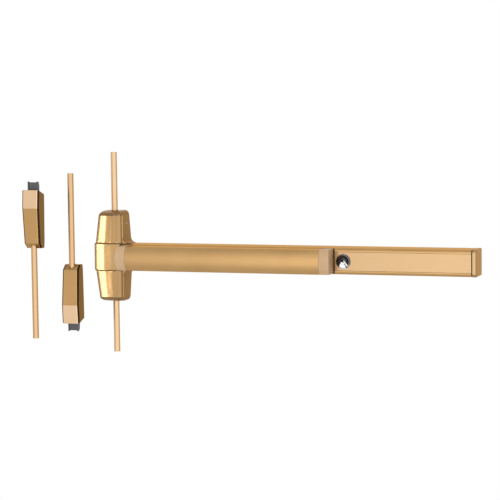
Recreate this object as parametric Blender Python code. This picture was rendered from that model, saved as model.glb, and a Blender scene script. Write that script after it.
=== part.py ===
"""Surface vertical rod exit device: a push bar, a centre case that works two vertical rods, and two latches.

Metres, +Z up. X runs along the push bar, +Y goes into the door, so every piece stands at negative Y.
The origin is on the door's face, behind the middle of the centre case. Depth below means distance
from the door's face, which is -Y. The long rods are cut short, as the device is pictured.
"""

import math

import bmesh
import bpy
from mathutils import Matrix, Vector

for old in list(bpy.data.objects):
    bpy.data.objects.remove(old, do_unlink=True)

# Clearances, how far a cutter passes what it cuts, and how far a joined solid sinks in
GAP = 0.0003
RUNNING = 0.0002
RING_NUDGE = 0.00002
PAST = 0.01
BITE = 0.0005

# Motion
BAR_TRAVEL = 0.019
LINK_TRAVEL = 0.010
ROD_TRAVEL = 0.0184
BELL_SWING = math.radians(18.5)
CRANK_SWING = math.radians(29)

# Mechanism case, a channel that runs from the centre case to the end cap
CASE_HEIGHT = 0.057
CASE_DEPTH = 0.057
CASE_WALL = 0.0015
CASE_CORNER = 0.008
CASE_START = 0.0276
CASE_BACK_ROUND = 0.0006
PLATE_WIDTH = 0.0396
PLATE_THICK = 0.0021
PLATE_SEAT = 0.003

# Push bar
BAR_HEIGHT = 0.0534
BAR_REST_DEPTH = 0.097
BAR_FLANGE_END = 0.046
BAR_WALL = 0.0022
BAR_CORNER = 0.0036
BAR_CROWN_HALF = 0.0236
BAR_CROWN_RISE = 0.0070
BAR_START = 0.032
BAR_LENGTH = 0.491
BAR_END_LENGTH = 0.023
BAR_END_CROWN = 0.0026
BAR_END_WALL = 0.0026

# Cover plate, key cylinder and end cap, from the push bar's right end outwards
PLATE_GAP = 0.0016
PLATE_LENGTH = 0.2966
CYLINDER_FROM_PLATE = 0.0195
CYLINDER_RADIUS = 0.0146
CYLINDER_PROUD = 0.0036
CYLINDER_LENGTH = 0.027
COLLAR_WIDTH = 0.0016
COLLAR_THICK = 0.0017
PLUG_RADIUS = 0.0066
PLUG_PROUD = 0.0004
PLUG_EDGE = 0.0005
CYLINDER_THREAD = (0.0015, 0.006)
CYLINDER_EDGE = ((0, 0.0016), (0.0005, 0.0006), (0.0016, 0))
COLLAR_EDGE = 0.6
CAM_NOSE = 0.0035
CAM_WAIST = (0.0050, 0.0030)
CAM_EYE = 0.0018
KEYWAY = (0.0016, 0.0078, 0.0040)
CAM_LENGTH = 0.0145
CAM_THICK = 0.0030
CAP_LENGTH = 0.0085
CAP_WALL = 0.0014
CAP_ROUND = 0.0030
CAP_GROOVE = 0.0022
CAP_PROUD = 0.0006
CAP_BACK_ROUND = 0.001
CAP_PLATE = 0.0025
CAP_FOOT = 0.030
CAP_SCREW_RADIUS = 0.0015
CAP_SCREW_HEAD = 0.0024
CAP_SCREW_EDGE = (0.0005, 0.0012)
CAP_TAB = 1.8

# Centre case cover
COVER_HEIGHT = 0.203
COVER_WALL = 0.0023
TIP_HALF = 0.0280
TIP_DEPTH = 0.046
TIP_ROUND = 0.0105
TIP_DEPTH_ROUND = 0.024
TIP_SIDE_ROUND = 0.009
LOBE_HALF = 0.0330
LOBE_DEPTH = 0.057
LOBE_CORNER = 0.0075
LOBE_CROWN = 0.0042
BAND_HALF_HEIGHT = 0.031
BAND_HALF = 0.035
BAND_DEPTH = 0.0605
BAND_EDGE = 0.0036
FRONT_EDGE_GAP = 0.0006
FLARE = 0.012
FLARE_DEPTH = 0.049
FLARE_TUCK = 0.0006
FLARE_STEPS = 8
ROD_HOLE_RADIUS = 0.0093
SCREW_HEIGHT = 0.074
SCREW_DEPTH = 0.020
SCREW_PROUD = 0.0002
SCREW_SLOT = (0.003, 0.0004, 0.0008)

# Rods and the parts that drive them
ROD_FLATS = 0.012
ROD_DEPTH = 0.015
ROD_TOP_END = 0.232
ROD_BOTTOM_END = 0.217
YOKE_JAW = 0.0035
YOKE_WIDTH = 0.0124
CRANK_PLATE = 0.0034
CRANK_NOSE = 0.005
SLIDE_NOSE = 0.003
CRANK_HUB = 0.006
CRANK_PIVOT_HEIGHT = 0.034
CRANK_WAIST = (0.0045, 0.0030)
SLIDE_WAIST = (0.0028, 0.0015)
HUB_PROUD = 0.002
SLIDE_HALF = 0.008
SLIDE_JAW = 0.003
SLIDE_REACH = 0.020
SLIDE_EAR_OVER = 0.0012
SLIDE_CORNERS = (0.001, 0.002)
LINK_THICK = 0.004
LINK_HALF = 0.006
LINK_LAP = 0.014
LINK_JOG = 0.006
LINK_OVER = 0.030
GUIDE_LUG_HEIGHT = 0.060
GUIDE_LUG_THICK = 0.003
ROD_SPRING_LENGTH = 0.026
ROD_COLLAR_THICK = 0.0026
ROD_COLLAR_RADIUS = 0.0098
SPRING_WIRE = 0.00062
SPRING_TURNS = 5
BASE_THICK = 0.0025
BASE_LUG = 0.0245
GUIDE_LUG_HALF = 0.013
GUIDE_LUG_REACH = 0.011
SLIDE_LUG = (0.0115, 0.0185)
SLIDE_LUG_TALL = 0.0034
SCREW_LUG = (0.0040, 0.0025)
SCREW_LUG_HALF = 0.005
DOOR_HOLE = (0.016, 0.084, 0.0026)
PIN_RADIUS = 0.003
PIN_HEAD = (0.0015, 0.0014)
PIN_EASE = 0.0001

# Bell cranks that the push bar works, and their brackets
BELL_FROM_LEFT = 0.078
BELL_FROM_RIGHT = 0.123
BELL_NOSE = 0.004
BELL_HUB = 0.006
BELL_ARM_THICK = 0.003
BELL_ARM_CLEAR = 0.0006
BELL_WAIST = (0.0042, 0.0036)
BELL_EYE = 0.0012
LINK_ARM_HALF = 0.0026
LINK_WAIST = (0.0036, 0.0026)
BELL_BASE = (0.018, 0.014, 0.020)
CHEEK_HALF = (0.0095, 0.0075)
CHEEK_ROUND = 0.006
CHEEK_THICK = 0.0025
LEG_THICK = 0.004
LEG_MARGIN = 0.0034
LEG_END_MARGIN = 0.0034
LEG_TOP_HALF = 0.0150
LEG_ROUND = 0.003
WEB_HALF = 0.017
WEB_THICK = 0.003

# Latches: sizes in their own frame, with z counted from the front edge of the bolt end, rods at negative z
TOP_LATCH = (-0.201, 0.1465)
BOTTOM_LATCH = (-0.107, -0.1561)
LATCH_WALL = 0.0016
LATCH_LENGTH = 0.1335
LATCH_FOOT = 0.0115
LATCH_CREASE = 0.042
LATCH_SLANT = 0.011
LATCH_BOLT_END = (0.0212, 0.0295, 0.0036)
LATCH_CREST = (0.0210, 0.0325, 0.0038)
LATCH_ROD_END = (0.0200, 0.0262, 0.0040)
LATCH_FOOT_END = (0.0190, 0.0150, 0.0034)
LATCH_ROD_LENGTH = 0.340
LATCH_SOFT_EDGE = 0.0007
LATCH_PLAY = 0.0006
LATCH_OVER = 0.004
CHAMFER_INSET = 0.55
FOOT_INSET = 0.4
BOLT_HALF = 0.012
BOLT_BACK = 0.0053
BOLT_FRONT = 0.0168
BOLT_REACH = 0.0185
BOLT_SHOULDER = 0.007
BOLT_NOSE_RISE = 0.0112
BOLT_NOSE_RUN = 0.0078
NOSE_STEPS = 8
CHEEK_WIDTH = 0.0018
CHEEK_RAISE = 0.0018
CHEEK_DEPTH = 0.0021
CHEEK_LOW = -0.002
SHANK_RADIUS = 0.0055
SHELF_THICK = 0.003
UPPER_SHELF = 0.0265
LOWER_SHELF = 0.0680
BOLT_COLLAR = 0.036
BOLT_COLLAR_RADIUS = 0.0088
BOLT_COLLAR_THICK = 0.003
COUPLER_START = 0.086
COUPLER_LENGTH = 0.0125
COUPLER_RADIUS = 0.0080
COUPLER_EDGE = 0.0008
FRAME_HALF = 0.0165
FRAME_ENDS = (0.006, 0.014)
FRAME_HOLE = (0.010, 0.020, 0.0022)
SCREW_RADIUS = 0.0022
SCREW_HEAD = 0.0027
SCREW_RISE = 0.0013
SCREW_TALL = 0.0012
LATCH_SCREW = (-0.0138, 0.0215)

# Worked out from the sizes above
CASE_HALF = CASE_HEIGHT / 2
BAR_HALF = BAR_HEIGHT / 2
BAR_END = BAR_START + BAR_LENGTH
BELL_PLACES = (BAR_START + BELL_FROM_LEFT, BAR_END - BELL_FROM_RIGHT)
PLATE_START = BAR_END + PLATE_GAP
PLATE_END = PLATE_START + PLATE_LENGTH
PLATE_HALF = PLATE_WIDTH / 2
CYLINDER_X = PLATE_START + CYLINDER_FROM_PLATE
CAP_START = PLATE_END + CAP_GROOVE
CAP_END = CAP_START + CAP_LENGTH
CASE_END = PLATE_END
COVER_HALF = COVER_HEIGHT / 2
BAR_ARM = BAR_TRAVEL / (2 * math.sin(BELL_SWING))
LINK_ARM = LINK_TRAVEL / (2 * math.sin(BELL_SWING))
ROD_ARM = ROD_TRAVEL / (2 * math.sin(CRANK_SWING))
SLIDE_ARM = LINK_TRAVEL / (2 * math.sin(CRANK_SWING))
LINK_DEPTH = ROD_DEPTH
BELL_DEPTH = LINK_DEPTH + LINK_ARM
CRANK_X = -ROD_ARM
SLIDE_REST_X = CRANK_X + LINK_TRAVEL / 2
ROD_RADIUS = ROD_FLATS / math.sqrt(3)
HEX_TURN = math.pi / 6
SPRING_RADIUS = ROD_RADIUS + 4 * GAP + SPRING_WIRE
YOKE_HALF = CRANK_NOSE + RUNNING + YOKE_JAW
YOKE_REST = CRANK_PIVOT_HEIGHT + ROD_TRAVEL / 2
BAR_DEPTH_LOW = BELL_DEPTH + BAR_TRAVEL / 2


def finish_of(name, colour, metallic, roughness):
    """A plain Principled material."""
    found = bpy.data.materials.new(name)
    found.use_nodes = True
    shader = found.node_tree.nodes["Principled BSDF"]
    shader.inputs["Base Color"].default_value = (*colour, 1)
    shader.inputs["Metallic"].default_value = metallic
    shader.inputs["Roughness"].default_value = roughness
    return found


BRONZE = finish_of("satin_bronze", (0.62, 0.39, 0.19), 1.0, 0.36)
BRONZE_ROD = finish_of("rod_bronze", (0.78, 0.55, 0.32), 1.0, 0.40)
MOULDED = finish_of("moulded_end", (0.55, 0.42, 0.25), 0.0, 0.55)
STEEL = finish_of("plated_steel", (0.55, 0.54, 0.50), 1.0, 0.38)
SPRING_STEEL = finish_of("spring_steel", (0.42, 0.42, 0.44), 1.0, 0.30)
BOLT_STEEL = finish_of("bolt_steel", (0.22, 0.22, 0.24), 1.0, 0.45)
CHROME = finish_of("polished_chrome", (0.78, 0.78, 0.80), 1.0, 0.06)


# Outlines in a plane

def fillet(corners, steps=6):
    """A closed outline from corners (u, v, radius), each rounded by its own radius."""
    points = []
    for i, (u, v, radius) in enumerate(corners):
        here = Vector((u, v))
        if not radius:
            points.append((u, v))
            continue
        before = (Vector(corners[i - 1][:2]) - here).normalized()
        after = (Vector(corners[(i + 1) % len(corners)][:2]) - here).normalized()
        half = before.angle(after) / 2
        centre = here + (before + after).normalized() * (radius / math.sin(half))
        start = here + before * (radius / math.tan(half)) - centre
        end = here + after * (radius / math.tan(half)) - centre
        first = math.atan2(start.y, start.x)
        turn = (math.atan2(end.y, end.x) - first + math.pi) % math.tau - math.pi
        for k in range(steps + 1):
            angle = first + turn * k / steps
            points.append((centre.x + radius * math.cos(angle), centre.y + radius * math.sin(angle)))
    return points


def circle(u, v, radius, steps=24, start=0.0):
    """Points around a circle."""
    angles = [start + math.tau * k / steps for k in range(steps)]
    return [(u + radius * math.cos(a), v + radius * math.sin(a)) for a in angles]


def tapered_arm(reach, hub, nose, waist, steps=6):
    """A lever's outline from a hub at the origin to a round nose at (reach, 0)."""
    hub_turn = math.asin(min(1, waist[0] / hub))
    nose_turn = math.asin(min(1, waist[1] / nose))
    points = []
    for k in range(2 * steps + 1):
        angle = hub_turn + (math.tau - 2 * hub_turn) * k / (2 * steps)
        points.append((hub * math.cos(angle), hub * math.sin(angle)))
    for k in range(steps + 1):
        angle = -math.pi + nose_turn + (math.tau - 2 * nose_turn) * k / steps
        points.append((reach + nose * math.cos(angle), nose * math.sin(angle)))
    return points


def turned(points, angle):
    """The outline turned about its origin."""
    c, s = math.cos(angle), math.sin(angle)
    return [(u * c - v * s, u * s + v * c) for u, v in points]


def shifted(points, du, dv):
    return [(u + du, v + dv) for u, v in points]


# Solids

def ring(points, axis, level):
    """Puts an outline in space: (depth, z) across X, (x, z) at a depth, or (x, depth) across Z."""
    if axis == "x":
        return [(level, -u, v) for u, v in points]
    if axis == "y":
        return [(u, -level, v) for u, v in points]
    return [(u, -v, level) for u, v in points]


def outward(bm):
    """Turns every face out, also after a mirror."""
    bmesh.ops.recalc_face_normals(bm, faces=bm.faces)
    if bm.calc_volume(signed=True) < 0:
        bmesh.ops.reverse_faces(bm, faces=bm.faces)


def loft(rings):
    """A closed skin through rings with the same number of points."""
    bm = bmesh.new()
    loops = [[bm.verts.new(p) for p in points] for points in rings]
    for low, high in zip(loops, loops[1:]):
        for i in range(len(low)):
            j = (i + 1) % len(low)
            bm.faces.new((low[i], low[j], high[j], high[i]))
    bm.faces.new(loops[0])
    bm.faces.new(loops[-1])
    outward(bm)
    return bm


def prism(points, axis, low, high):
    """An outline extruded along an axis between two levels."""
    return loft([ring(points, axis, low), ring(points, axis, high)])


def block(x, depth, z):
    """A box from its ranges in x, depth and z."""
    return prism([(x[0], depth[0]), (x[1], depth[0]), (x[1], depth[1]), (x[0], depth[1])], "z", *z)


def revolve(profile, axis, place, steps=32):
    """A turned solid: profile points (radius, level) along an axis through place, ends on the axis."""
    rings = []
    for radius, level in profile:
        rings.append(ring(circle(place[0], place[1], max(radius, 1e-6), steps), axis, level))
    bm = loft(rings)
    bmesh.ops.remove_doubles(bm, verts=bm.verts, dist=1e-5)
    outward(bm)
    return bm


def coil(radius, wire, turns, place, low, high, per_turn=11, sides=5):
    """A compression spring about a vertical axis at place (x, depth), between two heights."""
    low, high = low + wire, high - wire
    rings = []
    count = turns * per_turn
    for k in range(count + 1):
        angle = math.tau * k / per_turn
        out = Vector((math.cos(angle), -math.sin(angle), 0))
        centre = Vector((place[0], -place[1], low + (high - low) * k / count)) + out * radius
        around = [math.tau * s / sides for s in range(sides)]
        rings.append([centre + (out * math.cos(a) + Vector((0, 0, 1)) * math.sin(a)) * wire for a in around])
    return loft(rings)


def piece(name, bm, finish, pivot=(0, 0, 0), matrix=None):
    """A named object from a mesh, with its origin at the pivot."""
    if matrix is not None:
        bm.transform(matrix)
        outward(bm)
    mesh = bpy.data.meshes.new(name)
    bm.transform(Matrix.Translation(-Vector(pivot)))
    bm.to_mesh(mesh)
    bm.free()
    mesh.materials.append(finish)
    mesh.shade_smooth()
    mesh.set_sharp_from_angle(angle=math.radians(32))
    made = bpy.data.objects.new(name, mesh)
    made.location = pivot
    bpy.context.scene.collection.objects.link(made)
    return made


def shape(target, operation, bm, matrix=None):
    """Cuts a solid out of the target, or joins it on, with a Boolean."""
    helper = piece(f"{target.name}_{operation.lower()}_{len(target.modifiers)}", bm, STEEL, matrix=matrix)
    helper.hide_render = True
    helper.display_type = "WIRE"
    step = target.modifiers.new(helper.name, "BOOLEAN")
    step.operation = operation
    step.object = helper


def cut(target, bm, matrix=None):
    shape(target, "DIFFERENCE", bm, matrix)


def join(target, bm, matrix=None):
    shape(target, "UNION", bm, matrix)


# Centre case

def crowned(wide, back, deep, corner, crown, steps, arcs):
    """A D outline: straight sides from the back, round corners and a front that swells by the crown."""
    edge = deep - crown
    front = []
    for k in range(1, arcs):
        share = 1 - 2 * k / arcs
        front.append((wide * share, deep - crown * share * share, 0))
    corners = [(-wide, back, 0), (wide, back, 0), (wide, edge, corner), *front, (-wide, edge, corner)]
    return fillet(corners, steps)


def cover_levels(steps):
    """Heights of the cover with its half width and depth there, from the top down."""
    slope_half = (TIP_HALF - LOBE_HALF) / (COVER_HALF - BAND_HALF_HEIGHT)
    slope_depth = (TIP_DEPTH - LOBE_DEPTH) / (COVER_HALF - BAND_HALF_HEIGHT)
    levels = []
    for k in range(steps + 1):
        angle = math.pi / 2 * (1 - k / steps)
        z = COVER_HALF - TIP_ROUND + TIP_ROUND * math.sin(angle)
        along = z - BAND_HALF_HEIGHT
        half = LOBE_HALF + slope_half * along - TIP_SIDE_ROUND * (1 - math.cos(angle))
        depth = LOBE_DEPTH + slope_depth * along - TIP_DEPTH_ROUND * (1 - math.cos(angle))
        levels.append((z, half, depth))
    for k in range(steps):
        angle = math.pi / 2 * k / (steps - 1)
        half = LOBE_HALF + (BAND_HALF - LOBE_HALF) * math.sin(angle)
        depth = LOBE_DEPTH + (BAND_DEPTH - LOBE_DEPTH) * math.sin(angle)
        levels.append((BAND_HALF_HEIGHT - BAND_EDGE * (1 - math.cos(angle)), half, depth))
    return levels


def cover_rings(inset, steps=5, arcs=6):
    """Level outlines of the cover from top to bottom, drawn in by a wall's thickness."""
    levels = cover_levels(steps)
    levels += [(-z, half, depth) for z, half, depth in reversed(levels)]
    rings = []
    for i, (z, half, depth) in enumerate(levels):
        z = max(-COVER_HALF + inset, min(COVER_HALF - inset, z))
        level = z + RING_NUDGE * (len(levels) / 2 - i)
        corner = (LOBE_CORNER - inset) * half / LOBE_HALF
        rings.append(ring(crowned(half - inset, -inset, depth - inset, corner, LOBE_CROWN, steps, arcs), "z", level))
    return rings


def centre_cover():
    cover = piece("center_case_cover", loft(cover_rings(0)), BRONZE)
    top = CASE_HALF + GAP
    for side in (1, -1):
        foot_x = LOBE_HALF + FLARE - FLARE_TUCK
        low = top + GAP
        arc = []
        for k in range(FLARE_STEPS + 1):
            angle = -math.pi / 2 * (1 + k / FLARE_STEPS)
            arc.append((foot_x + FLARE * math.cos(angle), low + GAP + FLARE * (1 + math.sin(angle))))
        inner_x = LOBE_HALF - COVER_WALL * 0.7
        outline = [(inner_x, low), (foot_x, low), *arc, (inner_x, low + GAP + FLARE)]
        outline = [(x, z * side) for x, z in outline]
        join(cover, prism(outline, "y", 0, FLARE_DEPTH))
    cut(cover, loft(cover_rings(COVER_WALL, 3, 4)))
    far = LOBE_HALF + 2 * FLARE
    cut(cover, block((CASE_START - GAP, far), (-PAST, CASE_DEPTH + GAP), (-top, top)))
    bar_room = BAR_HALF + FRONT_EDGE_GAP
    cut(cover, block((BAR_START - FRONT_EDGE_GAP, far), (CASE_DEPTH, BAND_DEPTH + PAST), (-bar_room, bar_room)))
    for side in (1, -1):
        heights = sorted((side * (COVER_HALF - 2 * PAST), side * (COVER_HALF + PAST)))
        cut(cover, prism(circle(0, ROD_DEPTH, ROD_HOLE_RADIUS, 24), "z", *heights))
    for side, height in ((1, SCREW_HEIGHT), (-1, -SCREW_HEIGHT)):
        low, high = sorted((side * (BASE_LUG + GAP), side * (LOBE_HALF + PAST)))
        cut(cover, prism(circle(SCREW_DEPTH, height, SCREW_RADIUS + RUNNING, 12), "x", low, high))


def wall_half(height):
    """Half the cover's width outside at a height on a lobe."""
    share = (abs(height) - BAND_HALF_HEIGHT) / (COVER_HALF - BAND_HALF_HEIGHT)
    return LOBE_HALF + (TIP_HALF - LOBE_HALF) * share


def cover_screws():
    for name, side in (("cover_screw_upper", 1), ("cover_screw_lower", -1)):
        outer = wall_half(SCREW_HEIGHT) + SCREW_PROUD
        inner = BASE_LUG - SCREW_LUG[0]
        low, high = sorted((side * outer, side * (inner + GAP)))
        screw = piece(name, prism(circle(SCREW_DEPTH, side * SCREW_HEIGHT, SCREW_RADIUS, 12), "x", low, high), STEEL)
        long, wide, deep = SCREW_SLOT
        across = sorted((side * (outer - deep), side * (outer + PAST)))
        at = side * SCREW_HEIGHT
        cut(screw, block(across, (SCREW_DEPTH - long, SCREW_DEPTH + long), (at - wide, at + wide)))


def base_plate():
    """The back plate that fills the cover, with bent lugs: two rod guides, two slide guides, two cover lugs."""
    tall = COVER_HALF - COVER_WALL - 3 * GAP
    tip = wall_half(tall) - COVER_WALL - 2 * GAP
    lobe = LOBE_HALF - COVER_WALL - 2 * GAP
    left = BAND_HALF - COVER_WALL - 2 * GAP
    right = CASE_START - 2 * GAP
    notch = CASE_HALF + 2 * GAP
    mid = BAND_HALF_HEIGHT
    swell = mid - BAND_EDGE - GAP
    corner = TIP_SIDE_ROUND
    outline = fillet([
        (-tip, -tall, corner), (tip, -tall, corner), (lobe, -mid, 0), (lobe, -notch, 0), (right, -notch, 0),
        (right, notch, 0), (lobe, notch, 0), (lobe, mid, 0), (tip, tall, corner), (-tip, tall, corner),
        (-lobe, mid, 0), (-left, swell, 0), (-left, -swell, 0), (-lobe, -mid, 0),
    ], 3)
    plate = piece("base_plate", prism(outline, "y", 0, BASE_THICK), STEEL)
    root = BASE_THICK - BITE
    for side in (1, -1):
        low, high = sorted((side * GUIDE_LUG_HEIGHT, side * (GUIDE_LUG_HEIGHT - GUIDE_LUG_THICK)))
        join(plate, block((-GUIDE_LUG_HALF, GUIDE_LUG_HALF), (root, ROD_DEPTH + GUIDE_LUG_REACH), (low, high)))
        cut(plate, prism(circle(0, ROD_DEPTH, ROD_RADIUS + RUNNING, 24), "z", low - GAP, high + GAP))
        low, high = sorted((side * (SLIDE_HALF + RUNNING), side * (SLIDE_HALF + RUNNING + SLIDE_LUG_TALL)))
        join(plate, block(SLIDE_LUG, (root, LINK_DEPTH + LINK_THICK / 2), (low, high)))
        low, high = sorted((side * (BASE_LUG - SCREW_LUG[0]), side * (BASE_LUG - SCREW_LUG[0] - SCREW_LUG[1])))
        heights = (side * SCREW_HEIGHT - SCREW_LUG_HALF, side * SCREW_HEIGHT + SCREW_LUG_HALF)
        join(plate, block((low, high), (root, SCREW_DEPTH + SCREW_LUG_HALF), heights))
        for x in (-1, 1):
            hole = circle(x * DOOR_HOLE[0], side * DOOR_HOLE[1], DOOR_HOLE[2], 12)
            cut(plate, prism(hole, "y", -GAP, BASE_THICK + GAP))


def rod_cranks():
    """The two levers that turn the slide's pull into rod travel, on pins in the base plate."""
    low = LINK_DEPTH - CRANK_PLATE / 2
    high = LINK_DEPTH + CRANK_PLATE / 2
    for name, side in (("upper", 1), ("lower", -1)):
        pivot = (CRANK_X, 0, side * CRANK_PIVOT_HEIGHT)
        hub = circle(0, 0, CRANK_HUB, 24)
        lever = piece(f"rod_crank_{name}", prism(hub, "y", BASE_THICK + GAP, high + HUB_PROUD), STEEL)
        rod_arm = tapered_arm(ROD_ARM, CRANK_HUB - BITE, CRANK_NOSE, CRANK_WAIST)
        slide_arm = tapered_arm(SLIDE_ARM, CRANK_HUB - 2 * BITE, SLIDE_NOSE, SLIDE_WAIST)
        slide_arm = turned(slide_arm, -side * math.pi / 2)
        join(lever, prism(rod_arm, "y", low, high))
        join(lever, prism(slide_arm, "y", low, high))
        cut(lever, prism(circle(0, 0, PIN_RADIUS + RUNNING, 14), "y", 0, high + PAST))
        helpers = [step.object for step in lever.modifiers]
        for part in (lever, *helpers):
            part.location = pivot
            part.rotation_euler = (0, -side * CRANK_SWING, 0)
        head = high + HUB_PROUD + RUNNING
        pin = [(PIN_RADIUS, BASE_THICK + GAP), (PIN_RADIUS, head), (PIN_RADIUS + PIN_HEAD[0], head + PIN_EASE),
               (PIN_RADIUS + PIN_HEAD[0] / 2, head + PIN_HEAD[1])]
        piece(f"crank_pin_{name}", revolve(pin, "y", (CRANK_X, side * CRANK_PIVOT_HEIGHT), 14), STEEL, pivot)


def main_slide():
    """The plate that carries the link's pull to both rod cranks."""
    low, high = LINK_DEPTH - LINK_THICK / 2, LINK_DEPTH + LINK_THICK / 2
    right = CASE_START + SLIDE_REACH
    ear = SLIDE_NOSE + RUNNING + SLIDE_JAW
    ear_top = CRANK_PIVOT_HEIGHT - SLIDE_ARM * math.cos(CRANK_SWING) + SLIDE_EAR_OVER
    at = SLIDE_REST_X
    outer, inner = SLIDE_CORNERS
    outline = fillet([
        (at - ear, -ear_top, outer), (at + ear, -ear_top, outer), (at + ear, -SLIDE_HALF, inner),
        (right, -SLIDE_HALF, outer), (right, SLIDE_HALF, outer), (at + ear, SLIDE_HALF, inner),
        (at + ear, ear_top, outer), (at - ear, ear_top, outer),
    ], 3)
    slide = piece("main_slide", prism(outline, "y", low, high), STEEL)
    notch = SLIDE_NOSE + RUNNING
    bottom = CRANK_PIVOT_HEIGHT - SLIDE_ARM - SLIDE_NOSE - 2 * RUNNING
    for side in (1, -1):
        heights = sorted((side * bottom, side * (ear_top + PAST)))
        cut(slide, block((at - notch, at + notch), (low - GAP, high + GAP), heights))
    lap = right - LINK_LAP / 2
    cut(slide, prism(circle(lap, 0, PIN_RADIUS + RUNNING, 16), "y", low - GAP, high + GAP))
    return right


def device_rods():
    """Each rod with its yoke, its spring's collar and its spring."""
    for name, side, end in (("top", 1, ROD_TOP_END), ("bottom", -1, ROD_BOTTOM_END)):
        flip = Matrix.Diagonal((1, 1, side, 1))
        pivot = (0, -ROD_DEPTH, side * YOKE_REST)
        start = YOKE_REST + YOKE_HALF
        hexagon = circle(0, ROD_DEPTH, ROD_RADIUS, 6, HEX_TURN)
        piece(f"{name}_rod", prism(hexagon, "z", start + GAP, end), BRONZE_ROD, pivot, flip)
        half = YOKE_WIDTH / 2
        body = block((BITE - CRANK_NOSE, CRANK_NOSE + YOKE_JAW), (ROD_DEPTH - half, ROD_DEPTH + half),
                     (YOKE_REST - YOKE_HALF, start))
        yoke = piece(f"{name}_rod_yoke", body, STEEL, matrix=flip)
        nose = CRANK_NOSE + RUNNING
        heights = sorted((side * (YOKE_REST - nose), side * (YOKE_REST + nose)))
        cut(yoke, block((-PAST, nose), (0, 2 * ROD_DEPTH), heights))
        spring_low = GUIDE_LUG_HEIGHT + GAP
        spring_high = spring_low + ROD_SPRING_LENGTH
        spring = coil(SPRING_RADIUS, SPRING_WIRE, SPRING_TURNS, (0, ROD_DEPTH), spring_low, spring_high)
        piece(f"{name}_rod_spring", spring, SPRING_STEEL, matrix=flip)
        collar = prism(circle(0, ROD_DEPTH, ROD_COLLAR_RADIUS, 20), "z", spring_high + GAP,
                       spring_high + GAP + ROD_COLLAR_THICK)
        made = piece(f"{name}_rod_collar", collar, STEEL, matrix=flip)
        grip = circle(0, ROD_DEPTH, ROD_RADIUS + GAP / 2, 6, HEX_TURN)
        cut(made, prism(grip, "z", *sorted((side * spring_high, side * (spring_high + PAST)))))


# Mechanism case and the push bar's linkage

def mechanism_case():
    """The channel: plain behind the push bar, with grooved lips that hold the plate beyond it."""
    half, deep, wall = CASE_HALF, CASE_DEPTH, CASE_WALL
    lip = PLATE_HALF + 2 * GAP
    seat = deep - PLATE_THICK - GAP
    tongue = lip - PLATE_SEAT
    inner = half - wall
    above = [(0, half, CASE_BACK_ROUND), (deep, half, CASE_CORNER), (deep, lip, 0), (seat, lip, 0), (seat, tongue, 0),
             (seat - wall, tongue, 0), (seat - wall, inner, CASE_CORNER - wall), (wall, inner, 0)]
    below = [(u, -v, radius) for u, v, radius in reversed(above)]
    case = piece("mechanism_case", prism(fillet(above + below, 6), "x", CASE_START, CASE_END), BRONZE)
    window = inner - RING_NUDGE
    mouth = seat - 2 * CASE_CORNER
    cut(case, block((CASE_START - PAST, PLATE_START - GAP), (mouth, deep + PAST), (-window, window)))


def bar_path(inset):
    """Half of the push bar's section, from a flange's end to the middle of the front."""
    half, front = BAR_HALF - inset, BAR_REST_DEPTH - inset
    rise, run = BAR_CROWN_RISE, BAR_CROWN_HALF
    radius = (rise * rise + run * run) / (2 * rise)
    spread = math.asin(run / radius)
    radius -= inset
    edge = (front - radius + radius * math.cos(spread), radius * math.sin(spread))
    corner = edge[0] - (half - edge[1]) * math.tan(spread)
    path = [(BAR_FLANGE_END, half, 0), (corner, half, BAR_CORNER - inset)]
    for k in range(6):
        angle = spread * (1 - k / 6)
        path.append((front - radius + radius * math.cos(angle), radius * math.sin(angle), 0))
    return path


def bar_section(wall):
    """The closed section: a solid one for no wall, or a folded sheet with a wall."""
    above = bar_path(0)
    middle = [(BAR_REST_DEPTH, 0, 0)]
    outer = above + middle + [(u, -v, r) for u, v, r in reversed(above)]
    if not wall:
        return fillet(outer, 4)
    inside = bar_path(wall)
    hollow = inside + [(BAR_REST_DEPTH - wall, 0, 0)] + [(u, -v, r) for u, v, r in reversed(inside)]
    return fillet(outer + hollow[::-1], 4)


def push_bar():
    pivot = (BAR_START, -BAR_REST_DEPTH, 0)
    low = BAR_START + BAR_END_LENGTH
    high = BAR_END - BAR_END_LENGTH
    piece("push_bar", prism(bar_section(BAR_WALL), "x", low + GAP, high - GAP), BRONZE, pivot)
    front = BAR_REST_DEPTH - BAR_CROWN_RISE - BAR_END_WALL
    back = BAR_FLANGE_END - PAST
    tall = BAR_HALF - BAR_END_WALL
    hollow = fillet([(back, tall, 0), (front, tall, BAR_CORNER), (front, -tall, BAR_CORNER), (back, -tall, 0)], 3)
    for name, start, outward in (("left", low, -1), ("right", high, 1)):
        outline = bar_section(0)
        far = start + outward * BAR_END_LENGTH
        edge = []
        for depth, z in outline:
            bulge = BAR_END_CROWN * (z / BAR_HALF) ** 2
            edge.append((far - outward * bulge, -depth, z))
        end = piece(f"push_bar_end_{name}", loft([ring(outline, "x", start), edge]), MOULDED, pivot)
        wall = far - outward * (BAR_END_WALL + BAR_END_CROWN)
        cut(end, prism(hollow, "x", *sorted((start - outward * PAST, wall))))


def bell_x(place):
    """Where a bell crank's pin sits in the push bar at rest."""
    return place + BAR_ARM * math.cos(BELL_SWING)


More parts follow.
